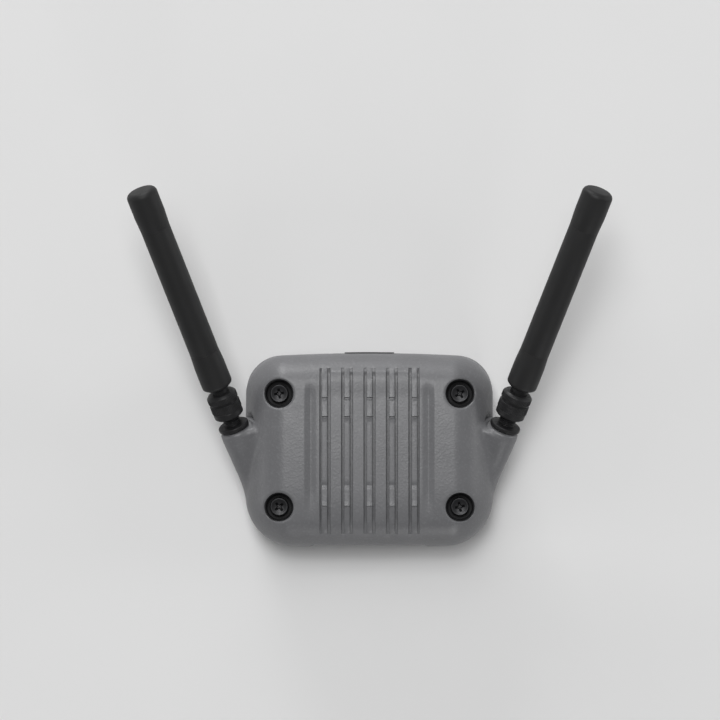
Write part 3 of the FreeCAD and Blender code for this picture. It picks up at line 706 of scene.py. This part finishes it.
M["rubber"] = moulded("soft_rubber", (0.022, 0.022, 0.024), 0.72, grain=0.22, depth=0.02, tintby=0.2)
M["chip"] = moulded("chip_epoxy", (0.02, 0.02, 0.022), 0.55, grain=0.15, depth=0.006, tintby=0.15)
M["ptfe"] = moulded("fluoropolymer", (0.8, 0.8, 0.78), 0.5, grain=0.4, depth=0.008, tintby=0.03)
M["foam"] = moulded("closed_cell_foam", (0.1, 0.1, 0.11), 0.85, grain=0.6, depth=0.08, tintby=0.2)
M["jacket"] = moulded("coax_jacket", (0.03, 0.03, 0.035), 0.42, grain=0.6, depth=0.008, tintby=0.15)
M["led"] = moulded("led_body", (0.85, 0.85, 0.75), 0.3, grain=0.3, depth=0.004, tintby=0.05)
M["board"] = circuit("circuit_board")
M["foil"] = foil("pouch_foil")
_lp = Mat("light_pipe", (0.82, 0.86, 0.9), 0.35, ior=1.49, transmission=0.6)
_lp.tint(_lp.noise(0.5), (0.74, 0.78, 0.84)).vary_rough(_lp.noise(0.6), 0.06).bump(_lp.noise(0.2), 0.006)
M["pipe"] = _lp.m

CAD_LOOK = {
    "base_cover": "base", "seam_gasket": "rubber", "rubber_feet": "rubber", "stand_insert": "brass", "cover_screws": "screw", "screw_cups": "cup", "screw_inserts": "brass",
    "main_board": "board", "board_screws": "steel", "radio_shields": "steel", "radio_chips": "chip", "battery_tray": "black_plastic", "battery": "foil",
    "battery_pad": "foam", "audio_jack": "black_plastic", "charging_socket": "steel", "charging_tongue": "black_plastic", "status_light_pipe": "pipe",
    "status_led": "led", "power_button": "button", "power_switch_stem": "black_plastic", "power_switch": "chip", "pairing_button": "button",
    "pairing_switch_stem": "black_plastic", "pairing_switch": "chip", "coax_plugs": "brass", "board_sockets": "brass", "rear_cover": "shell",
    "jack_collar": "collar", "jack_barrel": "collar", "jack_insulator": "ptfe", "jack_contact": "gold", "coupling_nut": "nut", "retaining_ring": "spring",
    "antenna_ferrule": "collar", "plug_insulator": "ptfe", "plug_pin": "gold", "antenna_lower_cap": "antenna_cap", "antenna_sleeve": "antenna",
    "antenna_tip_cap": "antenna_cap", "antenna_radiator": "brass", "coax_lead": "jacket",
}
for name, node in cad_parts.items():
    key = name.replace("_left", "").replace("_right", "")
    node.data.materials.clear()
    node.data.materials.append(M[CAD_LOOK[key]])


def put(o, body, look, slot, *nodes):
    o.data.materials.clear()
    o.data.materials.append(M[look])
    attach(o, body)
    for n in nodes:
        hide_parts(n)
    return o


# ------------------------------------------------------------------------ housing
cover = exact_normals(make_cover())
put(cover, "housing", "shell", "shell_grey", "rear_cover")

# ------------------------------------------------------------------------- screws
def phillips(name, x, y, angle):
    """Pan head with a cross recess that tapers inwards, and a threaded shank."""
    dome = [(0, 1.78), (0.7, 1.80), (1.2, 1.85), (1.7, 1.95), (2.1, 2.06), (2.36, 2.13), (2.5, 2.13), (2.62, 2.08), (2.72, 1.96), (2.8, 1.7), (2.85, 1.3), (2.85, 0.22), (2.78, 0.06), (2.68, 0.0)]
    shank = [(1.45, 0.0), (1.45, -0.6)]
    zz, r_major, r_minor, pitch = -0.6, 1.45, 1.12, 0.5
    while zz > -12.6:
        shank += [(r_minor, zz - pitch * 0.45), (r_minor, zz - pitch * 0.55), (r_major, zz - pitch * 0.95), (r_major, zz - pitch)]
        zz -= pitch
    shank += [(1.0, -13.35), (0, -13.4)]
    m = Matrix.Scale(MM, 4) @ Matrix.Translation((x, y, SEAT_Z)) @ Matrix.Rotation(math.radians(angle), 4, "Z")
    o = lathe(name, dome + shank, m, 64, 30)
    for k in range(2):
        secs = []
        for z, L, w in ((2.6, 1.95, 0.46), (2.05, 1.62, 0.40), (1.2, 1.12, 0.33), (0.62, 0.62, 0.26)):
            ring = []
            for cx, cy, a0 in ((L - 0.12, w - 0.12, 0), (-L + 0.12, w - 0.12, 90), (-L + 0.12, -w + 0.12, 180), (L - 0.12, -w + 0.12, 270)):
                for q in range(4):
                    a = math.radians(a0 + 30 * q)
                    ring.append((cx + 0.12 * math.cos(a), cy + 0.12 * math.sin(a), z))
            secs.append(ring)
        c = strip_solid("c", secs)
        c.data.transform(Matrix.Scale(MM, 4) @ Matrix.Translation((x, y, SEAT_Z)) @ Matrix.Rotation(math.radians(angle + 90 * k), 4, "Z") @ Matrix.Scale(1000, 4))
        o = boolean(o, c)
    c = tube_cutter("c", 0.95, (x, y, SEAT_Z + 2.4), (0, 0, -1), 1.95, 24, 0.30)
    o = boolean(o, c)
    tidy(o)
    shade(o, 30)
    return o


for i, (sx, y) in enumerate(((-1, SCREW_Y1), (1, SCREW_Y1), (-1, SCREW_Y2), (1, SCREW_Y2))):
    prof = [(1.62, -0.48), (4.26, -0.48), (4.26, 3.0), (4.22, 3.16), (4.12, 3.22), (4.0, 3.16), (3.94, 3.0), (3.9, 0.28), (3.84, 0.1), (3.7, 0.02), (3.1, -0.01), (1.62, -0.01)]
    o = lathe("screw_cup_%d" % (i + 1), prof, Matrix.Scale(MM, 4) @ Matrix.Translation((sx * SCREW_X, y, SEAT_Z)), 96, 40)
    put(o, "housing", "cup", "rubber", "screw_cups")
for i, (sx, y, ang) in enumerate(((-1, SCREW_Y1, 8), (1, SCREW_Y1, 32), (-1, SCREW_Y2, 40), (1, SCREW_Y2, 12))):
    o = phillips("cover_screw_%d" % (i + 1), sx * SCREW_X, y, ang)
    put(o, "housing", "screw", "screw_black", "cover_screws")


# ------------------------------------------------------------- antennas and jacks
def thread_tube(name, r_in, r_minor, r_major, z0, z1, pitch, matrix, inner=False, wall=None, segs=72, per=10, body=None):
    """A tube whose outer (or inner) face carries a helical thread that runs out at both ends."""
    n = max(int((z1 - z0) / pitch * per), 4)
    verts, faces = [], []
    zs = [z0 + (z1 - z0) * i / n for i in range(n + 1)]
    for z in zs:
        fade = min(1.0, (z - z0) / (0.5 * pitch), (z1 - z) / (0.5 * pitch))
        for k in range(segs):
            th = 2 * math.pi * k / segs
            ph = (z / pitch - k / segs) % 1.0
            tri = min(max(1.6 * (1 - abs(2 * ph - 1)) - 0.3, 0), 1)
            if inner:
                r = r_minor + (r_major - r_minor) * (1 - tri) * max(fade, 0) if fade < 1 else r_minor + (r_major - r_minor) * (1 - tri)
            else:
                r = r_minor + (r_major - r_minor) * tri * max(fade, 0)
            verts.append((r * math.cos(th), r * math.sin(th), z))
    base = len(verts)
    other = r_in
    for z in (z0, z1):
        for k in range(segs):
            th = 2 * math.pi * k / segs
            verts.append((other * math.cos(th), other * math.sin(th), z))
    for i in range(n):
        for k in range(segs):
            k2 = (k + 1) % segs
            faces.append((i * segs + k, i * segs + k2, (i + 1) * segs + k2, (i + 1) * segs + k))
    for k in range(segs):
        k2 = (k + 1) % segs
        faces.append((base + k, base + k2, k2, k))
        faces.append((n * segs + k, n * segs + k2, base + segs + k2, base + segs + k))
        faces.append((base + k2, base + k, base + segs + k, base + segs + k2))
    o = new_object(name, verts, faces, matrix)
    tidy(o)
    shade(o, 40)
    return o


def knurled_nut(name, matrix):
    R = 4.64
    prof = [(2.68, 4.05), (3.7, 4.05), (3.95, 4.12), (4.42, 4.55), (4.5, 4.72), (4.5, 6.02), (4.42, 6.12), (4.42, 6.2), (4.5, 6.27), (R, 6.4), (R, 8.72), (4.5, 8.8), (4.4, 8.82),
            (4.2, 8.84), (4.14, 8.88), (4.14, 9.6), (4.2, 9.65), (4.4, 9.67), (4.5, 9.69), (R, 9.77), (R, 11.3), (4.58, 11.4), (4.52, 11.5), (4.44, 11.6), (4.0, 12.04), (3.86, 12.15), (3.7, 12.2), (2.68, 12.2),
            (2.68, 11.25), (3.5, 11.25), (3.5, 10.0), (2.68, 10.0)]

    def knurl(th, i, r, z):
        if abs(r - R) > 1e-6:
            return r
        ph = (th * 60 / (2 * math.pi)) % 1.0
        return r - 0.12 * (1 - abs(2 * ph - 1)) ** 0.8
    return lathe(name, prof, matrix, 360, 24, knurl)


for side_name, side in (("left", -1), ("right", 1)):
    m = place(side)
    ant = "antenna_" + side_name
    o = lathe("jack_collar_round_" + side_name, rounded([(2.68, 0.05), (4.66, 0.05), (4.66, 1.25), (2.68, 1.25)], [0.05, 0.22, 0.34, 0.1], 5), m, 96, 50)
    put(o, "housing", "collar", "black_metal", "jack_collar_" + side_name)
    o = thread_tube("jack_thread_" + side_name, 2.05, 2.28, 2.62, 1.26, 9.9, 0.7056, m, segs=96, per=12)
    put(o, "housing", "collar", "black_metal")
    o = lathe("jack_body_" + side_name, [(2.05, -6.2), (2.42, -6.2), (2.5, -6.1), (2.5, -3.3), (2.6, -3.2), (3.1, -3.2), (3.22, -3.1), (3.22, -1.75), (3.12, -1.65), (2.62, -1.65), (2.62, 1.25), (2.05, 1.25)], m, 96, 30)
    put(o, "housing", "collar", "black_metal", "jack_barrel_" + side_name)
    o = knurled_nut("coupling_nut_knurled_" + side_name, m)
    put(o, "coupling_nut_" + side_name, "nut", "black_metal", "coupling_nut_" + side_name)
    cap = [(2.21, 14.12), (2.65, 14.12), (2.65, T_CAP), (3.3, T_CAP), (CAP_R, T_CAP + 1.0), (CAP_R, 21.8), (SLEEVE_R + 0.02, 25.6), (SLEEVE_R, 25.98), (3.55, 25.98), (3.55, 29.0), (2.6, 29.0), (2.6, 21.5), (2.21, 21.5)]
    o = lathe("antenna_foot_cap_" + side_name, rounded(cap, [0, 0, 0.1, 0.8, 1.1, 1.2, 0.15, 0.03, 0, 0, 0, 0, 0], 6), m, 96, 50)
    put(o, ant, "antenna_cap", "antenna_black", "antenna_lower_cap_" + side_name)
    tube = [(3.57, T_SLEEVE), (SLEEVE_R, T_SLEEVE), (SLEEVE_R, 36.0), (SLEEVE_R, 46.0), (SLEEVE_R, 56.0), (SLEEVE_R, T_TIP - 0.02), (3.57, T_TIP - 0.02)]
    o = lathe("antenna_tube_" + side_name, rounded(tube, [0, 0.04, 0, 0, 0, 0.04, 0], 4), m, 96, 50)
    put(o, ant, "antenna", "antenna_black", "antenna_sleeve_" + side_name)
    tip = [(0, 64.4), (3.55, 64.4), (3.55, T_TIP), (SLEEVE_R, T_TIP), (CAP_R, T_TIP + 0.7), (CAP_R, T_END), (0, T_END + 0.0)]
    prof = [(0, 64.4), (3.55, 64.4), (3.55, T_TIP)] + rounded([(3.55, T_TIP), (SLEEVE_R, T_TIP), (CAP_R, T_TIP + 4.6), (CAP_R, T_END - 0.12), (0, T_END)], [0, 0.04, 1.8, 1.7, 0], 9)[1:]
    o = lathe("antenna_tip_" + side_name, prof, m, 96, 50)
    put(o, ant, "antenna_cap", "antenna_black", "antenna_tip_cap_" + side_name)

# ------------------------------------------------------------------- underside
o = thread_tube("stand_thread_insert", 4.19, 2.62, 3.15, 0.02, 8.0, 1.27, None, inner=True, segs=72, per=14)
put(o, "housing", "brass", "brass", "stand_insert")
for i, (x, y) in enumerate(((-25.5, 17.5), (25.5, 17.5), (-25.5, -18.0), (25.5, -18.0))):
    prof = [(0, 0.58), (3.96, 0.58), (4.0, 0.5), (4.0, -0.3), (3.93, -0.55), (3.75, -0.73), (3.5, -0.8), (3.0, -0.8), (2.92, -0.72), (2.86, -0.6), (2.6, -0.6), (2.54, -0.72), (2.46, -0.8),
            (1.7, -0.8), (1.62, -0.72), (1.56, -0.6), (1.3, -0.6), (1.24, -0.72), (1.16, -0.8), (0, -0.8)]
    o = lathe("rubber_foot_%d" % (i + 1), prof, Matrix.Scale(MM, 4) @ Matrix.Translation((x, y, 0)), 64, 40)
    put(o, "housing", "rubber", "rubber", "rubber_feet")


# ------------------------------------------------------------------------ buttons
def key_cap(name, hx, hz, r, depth, flange, matrix, crown=0.06, edge=0.28, ridges=0):
    """A key with a rounded face edge and a slightly crowned face; local z is its front."""
    n = 8
    loops = []
    fx, fz, fr, f0, f1 = flange
    loops.append([(u, v, f0) for u, v in slot_ring(fx, fz, fr, n)])
    loops.append([(u, v, f1 - 0.05) for u, v in slot_ring(fx, fz, fr, n)])
    loops.append([(u, v, f1) for u, v in slot_ring(fx - 0.05, fz - 0.05, fr, n)])
    loops.append([(u, v, f1) for u, v in slot_ring(hx, hz, r, n)])
    for k in range(6):
        a = math.pi / 2 * k / 5
        off = edge * (1 - math.cos(a))
        loops.append([(u, v, depth - edge + edge * math.sin(a) - crown) for u, v in slot_ring(hx - off, hz - off, max(r - off, 0.2), n)])
    for s in (0.85, 0.6, 0.3):
        loops.append([(u * s, v * s, depth - crown * s * s) for u, v in slot_ring(hx - edge, hz - edge, max(r - edge, 0.2), n)])
    m = len(loops[0])
    verts = [p for l in loops for p in l] + [(0, 0, depth), (0, 0, f0)]
    faces = [(i * m + k, i * m + (k + 1) % m, (i + 1) * m + (k + 1) % m, (i + 1) * m + k) for i in range(len(loops) - 1) for k in range(m)]
    last = (len(loops) - 1) * m
    faces += [(last + k, last + (k + 1) % m, len(verts) - 2) for k in range(m)]
    faces += [((k + 1) % m, k, len(verts) - 1) for k in range(m)]
    o = new_object(name, verts, faces, matrix)
    tidy(o)
    shade(o, 32)
    return o


S = Matrix.Scale(MM, 4)
mp = S @ Matrix(((-1, 0, 0, 0), (0, 0, 1, Y_TOP - 2.25), (0, 1, 0, 10.5), (0, 0, 0, 1)))
o = key_cap("power_key", 7.6, 2.2, 1.9, 2.55, (8.6, 3.1, 0.4, -0.85, 0.0), mp)
bar = new_object("bar", *(lambda ring: ([(x * k, y * k2, z) for z, k, k2 in ((2.3, 1, 1), (2.545, 1, 1), (2.56, 0.95, 0.8)) for x, y in ring],
      [(i * len(ring) + k, i * len(ring) + (k + 1) % len(ring), (i + 1) * len(ring) + (k + 1) % len(ring), (i + 1) * len(ring) + k) for i in range(2) for k in range(len(ring))]
      + [tuple(range(len(ring) - 1, -1, -1)), tuple(2 * len(ring) + k for k in range(len(ring)))]))(slot_ring(2.6, 0.45, 0.44, 6)), mp)
tidy(bar)
o = boolean(o, bar, "UNION")
plunger = strip_solid("p", [[(u, y, 10.5 + v) for u, v in slot_ring(2.0, 1.2, 0.3, 4)] for y in (Y_TOP - 3.9, Y_TOP - 3.0)])
o = boolean(o, plunger, "UNION")
tidy(o)
shade(o, 32)
put(o, "power_button", "button", "rubber", "power_button")
mp = S @ Matrix(((0, 0, 1, HALF_W - 2.35), (1, 0, 0, -13.9), (0, 1, 0, 8.0), (0, 0, 0, 1)))
o = key_cap("pairing_key", 1.8, 0.9, 0.85, 2.65, (2.8, 1.3, 0.5, -0.85, 0.0), mp, crown=0.05, edge=0.25)
put(o, "pairing_button", "button", "rubber", "pairing_button")

# charging contacts on the tongue, both faces
for k, zz in enumerate((8.3 + 0.352, 8.3 - 0.352)):
    verts, faces = [], []
    for i in range(12):
        x0 = 7.4 - 2.75 + i * 0.5 - 0.125
        z0, z1 = (zz - 0.004, zz + 0.03) if k == 0 else (zz - 0.03, zz + 0.004)
        b = len(verts)
        verts += [(x, y, z) for x in (x0, x0 + 0.25) for y in (-28.2, -23.4) for z in (z0, z1)]
        faces += [tuple(b + q for q in f) for f in [(0, 1, 3, 2), (4, 6, 7, 5), (0, 4, 5, 1), (2, 3, 7, 6), (0, 2, 6, 4), (1, 5, 7, 3)]]
    o = new_object("charging_contacts_%d" % (k + 1), verts, faces, S)
    tidy(o)
    shade(o, 30)
    put(o, "housing", "gold", "brass")

# status light: a domed lens on the light pipe
mp = S @ Matrix(((1, 0, 0, 0), (0, 0, -1, -25.48), (0, 1, 0, 9.2), (0, 0, 0, 1)))
o = lathe("status_lens", [(0, 0), (0.9, 0), (0.9, 3.3), (0.86, 3.42), (0.7, 3.52), (0.4, 3.58), (0, 3.6)], mp, 48, 40)
put(o, "housing", "pipe", "light_clear", "status_light_pipe")

# -------------------------------------------------------------- floor, light, camera
floor_mat = Mat("floor_paint", (0.745, 0.745, 0.745), 0.7, specular=0.2)
floor_mat.tint(floor_mat.noise(60.0, 3.0), (0.737, 0.737, 0.737)).bump(floor_mat.noise(1.5, 2.0), 0.01)
bm = bmesh.new()
bmesh.ops.create_grid(bm, x_segments=8, y_segments=8, size=3.0)
me = bpy.data.meshes.new("floor")
bm.to_mesh(me)
bm.free()
floor = bpy.data.objects.new("floor", me)
floor.location = (0, 0, -0.0008)
me.materials.append(floor_mat.m)
scene.collection.objects.link(floor)

world = bpy.data.worlds.new("studio")
scene.world = world
world.use_nodes = True
bg = world.node_tree.nodes["Background"]
bg.inputs["Color"].default_value = (1, 1, 1, 1)
bg.inputs["Strength"].default_value = 0.178


def softbox(name, direction, distance, size, power, target=(0, 0, 0.01), size_y=None):
    light = bpy.data.lights.new(name, "AREA")
    light.shape = "RECTANGLE"
    light.size, light.size_y = size, size_y or size
    light.energy = power
    o = bpy.data.objects.new(name, light)
    d = Vector(direction).normalized()
    o.location = Vector(target) + d * distance
    o.rotation_mode = "QUATERNION"
    o.rotation_quaternion = d.to_track_quat("Z", "Y")
    scene.collection.objects.link(o)
    return o


# one broad soft light overhead, leaning to the rear, built from a row of boxes, with weak fills low down
for name, tilt, turn, power in (("over_1", 12, -14, 23.5), ("over_2", 24, -14, 24.0), ("over_3", 36, -14, 5.7), ("over_4", 50, -14, 5.1), ("rear", 80, -14, 44.0),
                                ("left", 75, -100, 8.7), ("right", 75, 80, 16.2), ("front", 75, 166, 18.2)):
    t, a = math.radians(tilt), math.radians(turn)
    softbox(name, (math.sin(t) * math.sin(a), math.sin(t) * math.cos(a), math.cos(t)), 3.0, 1.0, power)

cam_data = bpy.data.cameras.new("camera")
cam_data.lens = 162.585
cam_data.sensor_width = 36.0
cam_data.clip_start, cam_data.clip_end = 0.05, 20
cam = bpy.data.objects.new("camera", cam_data)
cam.location = (-0.00285, 0.0269, 0.9992)
cam.rotation_euler = (0, 0, 0)
scene.collection.objects.link(cam)
scene.camera = cam
scene.view_settings.view_transform = "Standard"
scene.view_settings.look = "None"
